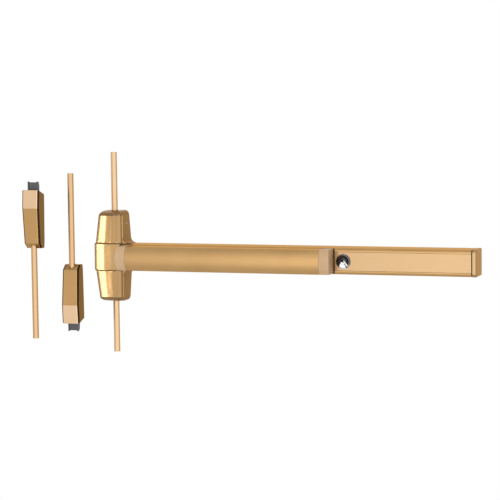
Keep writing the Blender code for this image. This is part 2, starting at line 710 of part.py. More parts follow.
def bell_cranks():
    arm_low = LINK_HALF + BELL_ARM_CLEAR
    arm_high = arm_low + BELL_ARM_THICK
    cheek_low = arm_high + 2 * RUNNING
    cheek_high = cheek_low + CHEEK_THICK
    leg_high = cheek_low + LEG_THICK
    tip = cheek_high + 2 * BITE
    for name, place in zip(("left", "right"), BELL_PLACES):
        pivot = (place, -BELL_DEPTH, 0)
        lever = piece(f"bell_crank_{name}", prism(circle(0, 0, BELL_HUB, 18), "z", -arm_high, arm_high), STEEL)
        bar_arm = tapered_arm(BAR_ARM, BELL_HUB - BITE, BELL_NOSE + BELL_EYE, BELL_WAIST)
        link_arm = turned(tapered_arm(LINK_ARM, BELL_HUB - 2 * BITE, BELL_NOSE, LINK_WAIST), -math.pi / 2)
        join(lever, prism(link_arm, "z", -LINK_ARM_HALF, LINK_ARM_HALF))
        for side in (1, -1):
            join(lever, prism(bar_arm, "z", *sorted((side * arm_low, side * arm_high))))
            nose = circle(BAR_ARM, 0, BELL_NOSE, 14)
            join(lever, prism(nose, "z", *sorted((side * (arm_high - 2 * BITE), side * (leg_high + BITE)))))
        cut(lever, prism(circle(0, 0, PIN_RADIUS + RUNNING, 14), "z", -leg_high, leg_high))
        for part in (lever, *[step.object for step in lever.modifiers]):
            part.location = pivot
            part.rotation_euler = (0, 0, -BELL_SWING)
        wide = PIN_RADIUS + PIN_HEAD[0]
        pin = [(wide, -tip - PIN_HEAD[1]), (wide, -tip), (PIN_RADIUS, PIN_EASE - tip), (PIN_RADIUS, tip)]
        piece(f"bell_crank_pin_{name}", revolve(pin, "z", (place, BELL_DEPTH), 14), STEEL)
        floor = CASE_WALL + GAP
        left, right, tall = BELL_BASE
        base = block((place - left, place + right), (floor, floor + CHEEK_THICK), (-tall, tall))
        bracket = piece(f"crank_bracket_{name}", base, STEEL)
        foot, eye = CHEEK_HALF
        root = floor + 2 * BITE
        cheek = fillet([(place - foot, root, 0), (place + foot, root, 0), (place + eye, BELL_DEPTH + eye, CHEEK_ROUND),
                        (place - eye, BELL_DEPTH + eye, CHEEK_ROUND)], 4)
        for side in (1, -1):
            join(bracket, prism(cheek, "z", *sorted((side * cheek_low, side * cheek_high))))
        cut(bracket, prism(circle(place, BELL_DEPTH, PIN_RADIUS + RUNNING, 14), "z", -leg_high, leg_high))
        bar_bracket(name, place, cheek_low, leg_high)


def bar_bracket(name, place, leg_low, leg_high):
    """The bent bracket inside the push bar, with a window in each leg for the bell crank's nose."""
    front = BAR_REST_DEPTH - BAR_CROWN_RISE - BAR_WALL - BAR_CORNER
    seat = BAR_HALF - BAR_WALL - GAP
    at = bell_x(place) + BAR_ARM * (1 - math.cos(BELL_SWING)) / 2
    slack = BAR_ARM * (1 - math.cos(BELL_SWING)) / 2 + RUNNING
    nose = BELL_NOSE + RUNNING
    low = BAR_DEPTH_LOW - nose - LEG_END_MARGIN
    wide = nose + slack + LEG_MARGIN
    web = block((at - WEB_HALF, at + WEB_HALF), (front - WEB_THICK, front), (-seat, seat))
    bracket = piece(f"push_bar_bracket_{name}", web, STEEL, (at, -BAR_REST_DEPTH, 0))
    for side in (1, -1):
        heights = sorted((side * leg_low, side * leg_high))
        root = front - 2 * BITE
        leg = fillet([(at - wide, low, LEG_ROUND), (at + wide, low, LEG_ROUND), (at + LEG_TOP_HALF, root, 0),
                      (at - LEG_TOP_HALF, root, 0)], 4)
        join(bracket, prism(leg, "z", *heights))
    window = [(at - nose - slack, BAR_DEPTH_LOW - nose), (at + nose + slack, BAR_DEPTH_LOW - nose),
              (at + nose + slack, BAR_DEPTH_LOW + nose), (at - nose - slack, BAR_DEPTH_LOW + nose)]
    cut(bracket, prism(window, "z", -BAR_HALF, BAR_HALF))


def link_rod(slide_right):
    """The flat bar from the right bell crank to the main slide, with a window for each crank's nose."""
    back = LINK_DEPTH + LINK_THICK / 2 + GAP
    low, high = LINK_DEPTH - LINK_THICK / 2, LINK_DEPTH + LINK_THICK / 2
    start = slide_right - LINK_LAP
    end = BELL_PLACES[-1] + LINK_OVER
    jog = slide_right + LINK_JOG
    bar = piece("link_rod", block((slide_right + GAP, end), (low, high), (-LINK_HALF, LINK_HALF)), STEEL)
    join(bar, block((start, jog), (back, back + LINK_THICK), (-LINK_HALF, LINK_HALF)))
    join(bar, block((slide_right + GAP + BITE, jog), (low, back + LINK_THICK), (-LINK_HALF, LINK_HALF)))
    lap = slide_right - LINK_LAP / 2
    cut(bar, prism(circle(lap, 0, PIN_RADIUS + RUNNING, 16), "y", low, back + PAST))
    for place in BELL_PLACES:
        at = place + LINK_ARM * math.sin(BELL_SWING)
        nose = BELL_NOSE + RUNNING
        room = LINK_ARM_HALF + RUNNING
        cut(bar, block((at - nose, at + nose), (0, high + PAST), (-room, room)))
    head = back + LINK_THICK + GAP
    pin = [(PIN_RADIUS, low - 2 * BITE), (PIN_RADIUS, head), (PIN_RADIUS + PIN_HEAD[0], head + PIN_EASE),
           (PIN_RADIUS + PIN_HEAD[0] / 2, head + PIN_HEAD[1])]
    piece("link_pin", revolve(pin, "y", (lap, 0), 16), STEEL)


# Cover plate, key cylinder and end cap

def cover_plate():
    low, high = CASE_DEPTH - PLATE_THICK, CASE_DEPTH
    outline = [(PLATE_START, -PLATE_HALF), (PLATE_END, -PLATE_HALF), (PLATE_END, PLATE_HALF), (PLATE_START, PLATE_HALF)]
    plate = piece("cover_plate", prism(outline, "y", low, high), BRONZE)
    cut(plate, prism(circle(CYLINDER_X, 0, CYLINDER_RADIUS + GAP, 36), "y", low - PAST, high + PAST))


def key_cylinder():
    face = CASE_DEPTH + CYLINDER_PROUD
    back = face - CYLINDER_LENGTH
    radius = CYLINDER_RADIUS
    neck, shoulder = radius - CYLINDER_THREAD[0], CASE_DEPTH - CYLINDER_THREAD[1]
    rim = [(radius - inwards, face - down) for inwards, down in CYLINDER_EDGE]
    profile = [(0, back), (neck, back), (neck, shoulder), (radius, shoulder), *rim, (0, face)]
    body = piece("lock_cylinder", revolve(profile, "y", (CYLINDER_X, 0), 36), CHROME)
    bore = PLUG_RADIUS + RUNNING
    cut(body, prism(circle(CYLINDER_X, 0, bore, 28), "y", back - PAST, face + PAST))
    seat = CASE_DEPTH + GAP
    outer = radius + COLLAR_WIDTH
    ring_profile = [(0, seat), (outer, seat), (outer, seat + COLLAR_THICK * COLLAR_EDGE),
                    (radius + COLLAR_WIDTH * COLLAR_EDGE, seat + COLLAR_THICK), (0, seat + COLLAR_THICK)]
    collar = piece("cylinder_collar", revolve(ring_profile, "y", (CYLINDER_X, 0), 36), CHROME)
    cut(collar, prism(circle(CYLINDER_X, 0, radius + GAP, 36), "y", seat - PAST, seat + PAST))
    pivot = (CYLINDER_X, -face, 0)
    tail = back - GAP
    plug_face = face + PLUG_PROUD
    plug = [(0, tail), (PLUG_RADIUS, tail), (PLUG_RADIUS, plug_face - PLUG_EDGE), (PLUG_RADIUS - PLUG_EDGE, plug_face),
            (0, plug_face)]
    made = piece("key_plug", revolve(plug, "y", (CYLINDER_X, 0), 28), CHROME, pivot)
    wide, tall, deep = KEYWAY
    cut(made, block((CYLINDER_X - wide / 2, CYLINDER_X + wide / 2), (plug_face - deep, plug_face + PAST),
                    (-tall / 2, tall / 2)))
    arm = tapered_arm(CAM_LENGTH - CAM_NOSE, PLUG_RADIUS + CAM_EYE, CAM_NOSE, CAM_WAIST)
    cam = shifted(turned(arm, -math.pi / 2), CYLINDER_X, 0)
    piece("cylinder_cam", prism(cam, "y", tail - GAP - CAM_THICK, tail - GAP), STEEL, pivot)


def cap_section(inset):
    back, half, deep = max(inset, 0), CASE_HALF - inset, CASE_DEPTH - inset
    radius = CASE_CORNER - inset
    return fillet([(back, -half, CAP_BACK_ROUND), (deep, -half, radius), (deep, half, radius),
                   (back, half, CAP_BACK_ROUND)], 6)


def end_cap():
    """The cap, and the bracket in the case's end that its screw holds it by, from below."""
    rings = [ring(cap_section(-CAP_PROUD), "x", CAP_START)]
    for k in range(5):
        angle = math.pi / 2 * k / 4
        inset = CAP_ROUND * (1 - math.cos(angle)) - CAP_PROUD
        rings.append(ring(cap_section(inset), "x", CAP_END - CAP_ROUND + CAP_ROUND * math.sin(angle)))
    cap = piece("end_cap", loft(rings), BRONZE)
    cut(cap, prism(cap_section(CAP_WALL), "x", CAP_START - PAST, CAP_END - CAP_WALL))
    wall = CAP_END - CAP_WALL - GAP
    foot = CASE_WALL + GAP
    inner = CASE_HALF - CASE_WALL - 3 * GAP
    deep = CASE_DEPTH - 2 * CASE_CORNER
    bracket = piece("end_cap_bracket", block((CASE_END - CAP_FOOT, wall), (foot, foot + CAP_PLATE), (-inner, inner)), STEEL)
    join(bracket, block((wall - CAP_PLATE, wall), (foot + 2 * BITE, deep), (-inner, inner)))
    middle = CASE_DEPTH / 2
    tab = CAP_SCREW_HEAD * CAP_TAB
    join(bracket, block((CAP_START + GAP, wall - 2 * BITE), (middle - tab, middle + tab), (-inner, CAP_PLATE - inner)))
    at = CAP_START + GAP + CAP_SCREW_HEAD
    hole = circle(at, middle, CAP_SCREW_RADIUS + RUNNING, 12)
    for part in (cap, bracket):
        cut(part, prism(hole, "z", -CASE_HALF - PAST, PAST - inner))
    head = -CASE_HALF - CAP_PROUD - GAP
    thin, tall = CAP_SCREW_EDGE
    screw = [(CAP_SCREW_HEAD - thin, head - tall), (CAP_SCREW_HEAD, head - tall + thin), (CAP_SCREW_HEAD, head),
             (CAP_SCREW_RADIUS, head + PIN_EASE), (CAP_SCREW_RADIUS, 2 * CAP_PLATE - inner)]
    piece("end_cap_screw", revolve(screw, "z", (at, middle), 16), STEEL)


# Latches

def latch_rings(inset, top):
    """Level outlines of a latch cover with chamfered front edges, from the foot up."""
    slope = (LATCH_BOLT_END[1] - LATCH_CREST[1]) / LATCH_CREASE
    over = (LATCH_BOLT_END[0], LATCH_CREST[1] + slope * (LATCH_CREASE + top), LATCH_BOLT_END[2])
    foot = LATCH_LENGTH - LATCH_FOOT
    levels = [(-LATCH_LENGTH + inset, LATCH_FOOT_END), (-foot + inset * FOOT_INSET, LATCH_ROD_END),
              (-LATCH_CREASE, LATCH_CREST), (top, over)]
    rings = []
    for z, (half, depth, chamfer) in levels:
        wide, deep = half - inset, depth - inset
        edge = chamfer - inset * CHAMFER_INSET
        outline = [(-wide, -inset), (wide, -inset), (wide, deep - edge), (wide - edge, deep), (-wide + edge, deep),
                   (-wide, deep - edge)]
        rings.append(ring(outline, "z", z))
    return rings


def latch_body(inset):
    """A closed form with its bolt end cut on the slant."""
    bm = loft(latch_rings(inset, LATCH_OVER))
    tilt = LATCH_SLANT / LATCH_BOLT_END[1]
    normal = Vector((0, tilt, 1)).normalized()
    place = Vector((0, -LATCH_BOLT_END[1], 0)) - normal * inset
    geometry = [*bm.verts, *bm.edges, *bm.faces]
    bmesh.ops.bisect_plane(bm, geom=geometry, plane_co=place, plane_no=normal, clear_outer=True)
    rim = [edge for edge in bm.edges if edge.is_boundary]
    bmesh.ops.holes_fill(bm, edges=rim, sides=0)
    outward(bm)
    return bm


def latch_cover(name, matrix):
    cover = piece(f"{name}_latch_cover", latch_body(0), BRONZE, matrix=matrix)
    soften = cover.modifiers.new("edges", "BEVEL")
    soften.width = LATCH_SOFT_EDGE
    soften.segments = 2
    soften.limit_method = "ANGLE"
    soften.angle_limit = math.radians(20)
    cut(cover, latch_body(LATCH_WALL), matrix)
    wide, low, high = BOLT_HALF + LATCH_PLAY, BOLT_BACK - LATCH_PLAY, BOLT_FRONT + LATCH_PLAY
    cut(cover, block((-wide, wide), (low, high), (-2 * PAST, 2 * PAST)), matrix)
    hole = circle(0, ROD_DEPTH, ROD_RADIUS + LATCH_PLAY, 20)
    cut(cover, prism(hole, "z", -LATCH_LENGTH - PAST, -LATCH_LENGTH + 2 * PAST), matrix)
    screw_hole = circle(*LATCH_SCREW, SCREW_RADIUS + RUNNING, 12)
    cut(cover, prism(screw_hole, "z", -LATCH_SLANT, PAST), matrix)


def latch_frame(name, matrix):
    """The back plate of a latch with the two shelves that guide the bolt's shank."""
    shelf_depth = LATCH_ROD_END[1] - 2 * LATCH_WALL
    low, high = FRAME_ENDS
    back = block((-FRAME_HALF, FRAME_HALF), (0, BASE_THICK), (low - LATCH_LENGTH, -high))
    frame = piece(f"{name}_latch_frame", back, STEEL, matrix=matrix)
    for shelf in (UPPER_SHELF, LOWER_SHELF):
        join(frame, block((-FRAME_HALF, FRAME_HALF), (2 * BITE, shelf_depth), (-shelf - SHELF_THICK, -shelf)), matrix)
        shank = circle(0, ROD_DEPTH, SHANK_RADIUS + RUNNING, 24)
        cut(frame, prism(shank, "z", -shelf - SHELF_THICK - GAP, GAP - shelf), matrix)
    for side in (-1, 1):
        hole = circle(side * FRAME_HOLE[0], FRAME_HOLE[1] - LATCH_LENGTH, FRAME_HOLE[2], 12)
        cut(frame, prism(hole, "y", -GAP, BASE_THICK + GAP), matrix)
    end = -LATCH_SLANT * (1 - LATCH_SCREW[1] / LATCH_BOLT_END[1])
    head = end + SCREW_RISE
    screw = [(SCREW_RADIUS, GAP - UPPER_SHELF), (SCREW_RADIUS, head - PIN_EASE), (SCREW_HEAD, head),
             (SCREW_HEAD, head + SCREW_TALL / 2), (SCREW_HEAD / 2, head + SCREW_TALL)]
    piece(f"{name}_latch_screw", revolve(screw, "z", LATCH_SCREW, 16), STEEL, matrix=matrix)


def bolt_nose():
    """The bolt's head: flat towards the room, rounded over towards the door."""
    points = [(BOLT_FRONT, BOLT_REACH), (BOLT_FRONT, -BOLT_SHOULDER), (BOLT_BACK, -BOLT_SHOULDER)]
    for k in range(NOSE_STEPS + 1):
        angle = math.pi / 2 * k / NOSE_STEPS
        points.append((BOLT_BACK + BOLT_NOSE_RUN * (1 - math.cos(angle)),
                       BOLT_REACH - BOLT_NOSE_RISE * (1 - math.sin(angle))))
    return prism(points, "x", -BOLT_HALF, BOLT_HALF)


def latch_bolt(name, matrix, pivot):
    bolt = piece(f"{name}_bolt", bolt_nose(), BOLT_STEEL, pivot, matrix)
    inner = BOLT_HALF - CHEEK_WIDTH
    cut(bolt, block((-inner, inner), (BOLT_FRONT - CHEEK_DEPTH, BOLT_FRONT + PAST), (CHEEK_LOW, BOLT_REACH + PAST)), matrix)
    cut(bolt, block((-inner, inner), (0, BOLT_FRONT + PAST), (BOLT_REACH - CHEEK_RAISE, BOLT_REACH + PAST)), matrix)
    under = -BOLT_COLLAR - BOLT_COLLAR_THICK
    shank = [(SHANK_RADIUS, -COUPLER_START), (SHANK_RADIUS, under), (BOLT_COLLAR_RADIUS, under),
             (BOLT_COLLAR_RADIUS, -BOLT_COLLAR), (SHANK_RADIUS, -BOLT_COLLAR), (SHANK_RADIUS, GAP - BOLT_SHOULDER)]
    join(bolt, revolve(shank, "z", (0, ROD_DEPTH), 24), matrix)
    low = -COUPLER_START - GAP - COUPLER_LENGTH
    high = low + COUPLER_LENGTH
    sleeve = [(COUPLER_RADIUS - COUPLER_EDGE, low), (COUPLER_RADIUS, low + COUPLER_EDGE),
              (COUPLER_RADIUS, high - COUPLER_EDGE), (COUPLER_RADIUS - COUPLER_EDGE, high)]
    piece(f"{name}_rod_coupler", revolve(sleeve, "z", (0, ROD_DEPTH), 24), STEEL, pivot, matrix)
    rod = prism(circle(0, ROD_DEPTH, ROD_RADIUS, 6, HEX_TURN), "z", -LATCH_ROD_LENGTH, low - GAP)
    piece(f"{name}_latch_rod", rod, BRONZE_ROD, pivot, matrix)
    spring_high = under - GAP
    spring_low = -LOWER_SHELF + GAP
    spring = coil(SHANK_RADIUS + 4 * GAP + SPRING_WIRE, SPRING_WIRE, SPRING_TURNS, (0, ROD_DEPTH), spring_low, spring_high)
    piece(f"{name}_bolt_spring", spring, SPRING_STEEL, matrix=matrix)


def latches():
    for name, (x, z), side in (("top", TOP_LATCH, 1), ("bottom", BOTTOM_LATCH, -1)):
        matrix = Matrix.Translation((x, 0, z)) @ Matrix.Diagonal((1, 1, side, 1))
        latch_cover(name, matrix)
        latch_frame(name, matrix)
        latch_bolt(name, matrix, (x, -ROD_DEPTH, z))


base_plate()
centre_cover()
cover_screws()
rod_cranks()
link_rod(main_slide())
device_rods()
mechanism_case()
push_bar()
bell_cranks()
cover_plate()
key_cylinder()
end_cap()
latches()
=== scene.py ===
"""Looks of the vertical rod exit device: finishes, springs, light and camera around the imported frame."""

import math

import bmesh
import bpy
from mathutils import Matrix, Vector


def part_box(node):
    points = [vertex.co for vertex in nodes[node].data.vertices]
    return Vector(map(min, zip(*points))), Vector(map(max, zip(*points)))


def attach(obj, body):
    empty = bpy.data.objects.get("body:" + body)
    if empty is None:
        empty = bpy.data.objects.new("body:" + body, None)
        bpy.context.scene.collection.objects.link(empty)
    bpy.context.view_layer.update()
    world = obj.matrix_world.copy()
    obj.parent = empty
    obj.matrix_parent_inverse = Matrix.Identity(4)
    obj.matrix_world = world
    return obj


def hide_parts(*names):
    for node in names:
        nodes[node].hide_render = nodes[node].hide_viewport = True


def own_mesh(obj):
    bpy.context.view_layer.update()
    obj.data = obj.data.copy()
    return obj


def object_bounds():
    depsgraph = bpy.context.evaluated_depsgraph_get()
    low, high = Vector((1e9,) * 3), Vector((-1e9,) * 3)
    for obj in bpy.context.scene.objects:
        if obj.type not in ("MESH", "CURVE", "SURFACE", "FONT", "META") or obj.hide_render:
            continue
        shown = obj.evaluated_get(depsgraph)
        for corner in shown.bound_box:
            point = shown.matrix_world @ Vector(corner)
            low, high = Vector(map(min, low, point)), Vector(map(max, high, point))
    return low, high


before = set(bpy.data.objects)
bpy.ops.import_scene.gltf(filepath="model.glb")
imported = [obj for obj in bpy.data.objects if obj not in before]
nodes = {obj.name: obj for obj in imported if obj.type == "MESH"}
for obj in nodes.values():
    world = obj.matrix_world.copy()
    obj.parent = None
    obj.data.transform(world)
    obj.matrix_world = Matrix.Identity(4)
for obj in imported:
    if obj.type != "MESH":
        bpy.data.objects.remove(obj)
cad_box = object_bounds()


# Shared helpers

def towards(turn, lift):
    """Unit vector to a place turned from the part's front to +X and lifted, both in radians."""
    flat = math.cos(lift)
    return Vector((math.sin(turn) * flat, -math.cos(turn) * flat, math.sin(lift)))


def add_object(name, data):
    made = bpy.data.objects.new(name, data)
    bpy.context.scene.collection.objects.link(made)
    return made


# Camera

# The photo's frame is 500 x 500 pixels
FRAME_PIXELS = 500
FOCAL_PIXELS = 1900
TURN = math.radians(19.0)
LIFT = math.radians(4.9)
ROLL = math.radians(-0.7)
AIM = Vector((0.3246, -0.030, 0.0187))
REACH = 4.146
CLIP_END = 50


def camera():
    """The photo's camera, from its turn to the right, its lift and its roll."""
    back = towards(TURN, LIFT)
    level = Vector((math.cos(TURN), math.sin(TURN), 0))
    upright = back.cross(level)
    right = level * math.cos(ROLL) + upright * math.sin(ROLL)
    up = upright * math.cos(ROLL) - level * math.sin(ROLL)
    data = bpy.data.cameras.new("camera")
    data.lens = FOCAL_PIXELS * data.sensor_width / FRAME_PIXELS
    data.clip_end = CLIP_END
    made = add_object("camera", data)
    axes = Matrix((right, up, back)).transposed()
    made.matrix_world = Matrix.Translation(AIM + back * REACH) @ axes.to_4x4()
    bpy.context.scene.camera = made


# Node trees

# How far a cover's normal may lean sideways, as its X, before the corner's own shape counts again
CROWN = (0.28, 0.36)
# Cosine between the rounded and the flat normal, from where an edge begins to where it is full
EDGE_LEAN = (0.999, 0.90)
BEVEL_SAMPLES = 16


class Graph:
    """The node tree of a material or world, with short ways to add and join nodes."""

    def __init__(self, owner, end):
        owner.use_nodes = True
        self.owner = owner
        self.tree = owner.node_tree
        self.end = self.tree.nodes[end]

    def put(self, value, socket):
        """Links an output to an input socket, or sets a constant on it."""
        if isinstance(value, bpy.types.NodeSocket):
            self.tree.links.new(value, socket)
        else:
            socket.default_value = value

    def add(self, kind, inputs=None, **settings):
        made = self.tree.nodes.new(kind)
        for key, value in settings.items():
            setattr(made, key, value)
        for key, value in (inputs or {}).items():
            self.put(value, made.inputs[key])
        return made

    def feed(self, value, name):
        """Gives a link or a constant to the shader at the tree's end."""
        self.put(value, self.end.inputs[name])

    def calc(self, operation, *values):
        return self.add("ShaderNodeMath", dict(enumerate(values)), operation=operation).outputs[0]

    def product(self, first, second):
        return self.calc("MULTIPLY", first, second)

    def between(self, value, low, high, to_low=0.0, to_high=1.0, **settings):
        inputs = {"Value": value, "From Min": low, "From Max": high, "To Min": to_low, "To Max": to_high}
        return self.add("ShaderNodeMapRange", inputs, **settings).outputs["Result"]

    def fade(self, value, outside, inside):
        """Runs smoothly from 0 at the outside value to 1 at the inside one."""
        return self.between(value, outside, inside, interpolation_type="SMOOTHSTEP")

    def mix(self, share, first, second):
        return self.add("ShaderNodeMix", {0: share, 6: first, 7: second}, data_type="RGBA").outputs[2]

    def split(self, vector):
        return self.add("ShaderNodeSeparateXYZ", {"Vector": vector}).outputs

    def where(self, kind="Object"):
        return self.add("ShaderNodeTexCoord").outputs[kind]

    def normal(self):
        return self.add("ShaderNodeNewGeometry").outputs["Normal"]

    def noise(self, cells, detail=2.0):
        """Noise with that many cells a metre along each axis."""
        place = self.add("ShaderNodeMapping", {"Vector": self.where(), "Scale": cells}).outputs["Vector"]
        inputs = {"Vector": place, "Scale": 1.0, "Detail": detail}
        return self.add("ShaderNodeTexNoise", inputs).outputs["Fac"]

    def rounded(self, width):
        """The normal with edges rounded over that width."""
        return self.add("ShaderNodeBevel", {"Radius": width}, samples=BEVEL_SAMPLES).outputs["Normal"]

    def crowned(self, wide, narrow):
        """A normal that turns smoothly from side to side across facets, but keeps steps and corners."""
        broad = self.split(self.rounded(wide))
        close = self.split(self.rounded(narrow))
        across = self.between(self.calc("ABSOLUTE", broad["X"]), *CROWN, broad["X"], close["X"])
        parts = {"X": across, "Y": close["Y"], "Z": close["Z"]}
        joined = self.add("ShaderNodeCombineXYZ", parts).outputs[0]
        return self.add("ShaderNodeVectorMath", {0: joined}, operation="NORMALIZE").outputs[0]

    def edges(self, width):
        """Near 1 along outer edges, from how a rounded normal leaves the flat one."""
        pair = {0: self.rounded(width), 1: self.normal()}
        along = self.add("ShaderNodeVectorMath", pair, operation="DOT_PRODUCT").outputs["Value"]
        return self.between(along, *EDGE_LEAN)

    def bump(self, height, distance, strength, normal):
        inputs = {"Height": height, "Distance": distance, "Strength": strength, "Normal": normal}
        return self.add("ShaderNodeBump", inputs).outputs["Normal"]


def material(name):
    return Graph(bpy.data.materials.new(name), "Principled BSDF")


def opaque(colour, share=1.0):
    """A colour with alpha 1, dimmed to a share of itself."""
    return (*(level * share for level in colour), 1.0)


# Finishes. Noise has cells to the metre; widths, depths and places are in metres

CLOUD_CELLS = (14, 14, 14)
CLOUD_DETAIL = 3.0
SPECK_CELLS = (900, 900, 900)
# The stretch of a noise's values over which a change runs
CLOUDS = (0.3, 0.7)
GRAIN = (0.25, 0.75)
SPECKS = (0.35, 0.6)
ROUGH = (0.2, 0.8)
# Rubbed edges are broken up by the specks, down to this share
SCUFF_LEAST = 0.15
RUBBED_WIDTH = 0.0006
CORNER_WIDTH = 0.0007
# The grain mixes in up to this share of a dimmer tone
STREAK = 0.22
STREAK_TONE = 0.78
# How far the grain and the clouds move the roughness either way
GRAIN_ROUGH = 0.04
CLOUD_ROUGH = 0.03
COAT_ROUGH = 0.2
PIT_DEPTH, PIT_STRENGTH = 0.00001, 0.15
GRAIN_STRENGTH = 0.5

# A softened cover is buffed in front and matt at its sides: the normal's X where a side begins and is full
COVER_SIDE = (0.7, 0.92)
COVER_SIDE_ROUGH = 0.5
# Its coat grows from a share of itself to the whole as the normal's Y turns to the front
COVER_FRONT = (-0.10, -0.35)
COVER_SIDE_COAT = 0.4


def satin_metal(name, tones, roughness, grain, *, grain_depth=0.00002, coat=0.0, glance=(1, 1, 1),
                painted_light=None, soften=None, wear=0.7, brushed=0.0):
    """Brushed or blasted metal: grain, cloudy tone, uneven roughness, edges rubbed brighter, and painted
    light where given.
    """
    colour, deep, worn = tones
    g = material(name)
    fine = g.noise(grain)
    cloud = g.noise(CLOUD_CELLS, CLOUD_DETAIL)
    specks = g.noise(SPECK_CELLS)

    tone = g.mix(g.between(cloud, *CLOUDS), opaque(deep), opaque(colour))
    # Painted light, where given: facets coloured lighter or darker by which way they face
    if painted_light:
        tone = painted_light(g, tone)
    streaked = g.mix(g.between(fine, *GRAIN, 0.0, STREAK), tone, opaque(colour, STREAK_TONE))
    scuffed = g.product(g.edges(RUBBED_WIDTH), g.between(specks, *SPECKS, SCUFF_LEAST * wear, wear))
    g.feed(g.mix(scuffed, streaked, opaque(worn)), "Base Color")
    g.feed(1.0, "Metallic")
    g.feed(opaque(glance), "Specular Tint")

    patchy = g.calc("ADD", g.between(fine, *ROUGH, -GRAIN_ROUGH, GRAIN_ROUGH),
                    g.between(cloud, *ROUGH, roughness - CLOUD_ROUGH, roughness + CLOUD_ROUGH))
    if soften:
        facing = g.split(g.normal())
        aside = g.calc("ABSOLUTE", facing["X"])
        g.feed(g.calc("MAXIMUM", patchy, g.between(aside, *COVER_SIDE, 0.0, COVER_SIDE_ROUGH)), "Roughness")
        g.feed(g.between(facing["Y"], *COVER_FRONT, COVER_SIDE_COAT * coat, coat), "Coat Weight")
        g.feed(g.between(aside, *COVER_SIDE, COAT_ROUGH, COVER_SIDE_ROUGH), "Coat Roughness")
        smooth = g.crowned(*soften)
    else:
        g.feed(patchy, "Roughness")
        g.feed(coat, "Coat Weight")
        g.feed(COAT_ROUGH, "Coat Roughness")
        smooth = g.rounded(CORNER_WIDTH)

    pitted = g.bump(specks, PIT_DEPTH, PIT_STRENGTH, smooth)
    uneven = g.bump(fine, grain_depth, GRAIN_STRENGTH, pitted)
    g.feed(uneven, "Normal")
    g.feed(uneven, "Coat Normal")
    if brushed:
        g.feed(brushed, "Anisotropic")
        g.feed(g.add("ShaderNodeTangent", direction_type="RADIAL", axis="X").outputs["Tangent"], "Tangent")
    return g.owner


# Painted light on a latch cover, by which way each facet faces: a painted highlight on the short facet at
# the bolt end, painted shade on its long slope and how far that takes this tone, and on its sides and the
# chamfers between
LATCH_SHORT_HIGHLIGHT = (0.96, 0.67, 0.42)
LATCH_LONG_SHADE = (0.56, 0.32, 0.115)
LATCH_LONG_SHARE = 0.5
LATCH_SIDE_SHADE = (0.24, 0.16, 0.105)
LATCH_CHAMFER_SHADE = (0.030, 0.018, 0.010)
# The crease where the two facets meet: how far it is from the bolt end, and its soft edge
CREASE_DEPTH = 0.041755
CREASE_BLEND = 0.0008
# The normal's Y from where a facet counts as a front one, and its X where chamfers and sides begin
LATCH_FRONT = (-0.80, -0.95)
CHAMFER_LEAN = (0.35, 0.5)
SIDE_LEAN = (0.85, 0.95)


def latch_painted_light(g, tone):
    """Painted light on a latch cover: a highlight on the bolt end of its front, shade on its long slope,
    sides and chamfers.
    """
    height = g.split(g.where())["Z"]
    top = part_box("top_latch_cover")[1].z - CREASE_DEPTH
    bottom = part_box("bottom_latch_cover")[0].z + CREASE_DEPTH
    upper = g.between(height, top - CREASE_BLEND, top + CREASE_BLEND)
    lower = g.between(height, bottom + CREASE_BLEND, bottom - CREASE_BLEND)
    facing = g.split(g.normal())
    # Painted highlight on the front of the short facet at each bolt end
    highlit_facet = g.product(g.calc("MAXIMUM", upper, lower), g.between(facing["Y"], *LATCH_FRONT))
    aside = g.calc("ABSOLUTE", facing["X"])
    # Painted shade: dimmer on the long slope, darker on the sides, darkest on the chamfers
    flank = g.mix(g.between(aside, *SIDE_LEAN), opaque(LATCH_CHAMFER_SHADE), opaque(LATCH_SIDE_SHADE))
    shaded_slope = g.mix(LATCH_LONG_SHARE, tone, opaque(LATCH_LONG_SHADE))
    return g.mix(highlit_facet, g.mix(g.between(aside, *CHAMFER_LEAN), shaded_slope, flank), opaque(LATCH_SHORT_HIGHLIGHT))


MOULD_CELLS = (1600, 1600, 1600)
MOULD_CLOUD_CELLS = (30, 30, 30)
MOULD_GRAIN = (0.3, 0.7)
MOULD_ROUGH = (0.42, 0.58)
MOULD_CORNER = 0.0008
MOULD_DEPTH, MOULD_STRENGTH = 0.00003, 0.4


def moulded(name, colour, deep):
    """Fine-grained moulded plastic with cloudy tone."""
    g = material(name)
    grain = g.noise(MOULD_CELLS)
    cloud = g.noise(MOULD_CLOUD_CELLS)
    g.feed(g.mix(g.between(cloud, *CLOUDS), opaque(deep), opaque(colour)), "Base Color")
    g.feed(g.between(grain, *MOULD_GRAIN, *MOULD_ROUGH), "Roughness")
    g.feed(g.bump(grain, MOULD_DEPTH, MOULD_STRENGTH, g.rounded(MOULD_CORNER)), "Normal")
    return g.owner


# Wipe marks and smudges on polished plate, and how much dimmer the smudges are
WIPE_CELLS = (300, 300, 2400)
WIPES = (0.3, 0.8)
WIPE_ROUGH = (0.05, 0.14)
WIPE_DEPTH, WIPE_STRENGTH = 0.000004, 0.2
SMUDGE_CELLS = (90, 90, 90)
SMUDGES = (0.35, 0.7)
SMUDGE = 0.3
SMUDGE_TONE = 0.82
# The normal's Y from where a facet counts as the polished face to where it is full
FACE = (-0.55, -0.95)
# The painted bright reflection on the face, a wedge: the place of its foot from the middle, its height,
# half the foot's width, how fast it narrows upwards, and its soft edge
PATCH = (-0.0016, -0.0082)
PATCH_TALL = 0.0062
PATCH_HALF = 0.0054
PATCH_SLOPE = 0.45
PATCH_BLEND = 0.0009
# The slanting streak of painted reflection beside it: its place from the middle, slope, half width at its
# edge and at its core, strength, and where it sets in, to the right of the middle
STROKE = 0.0022
STROKE_SLOPE = 0.8
STROKE_EDGE = 0.0032
STROKE_CORE = 0.0012
STROKE_SHARE = 0.75
STROKE_START = (0.0002, 0.0026)


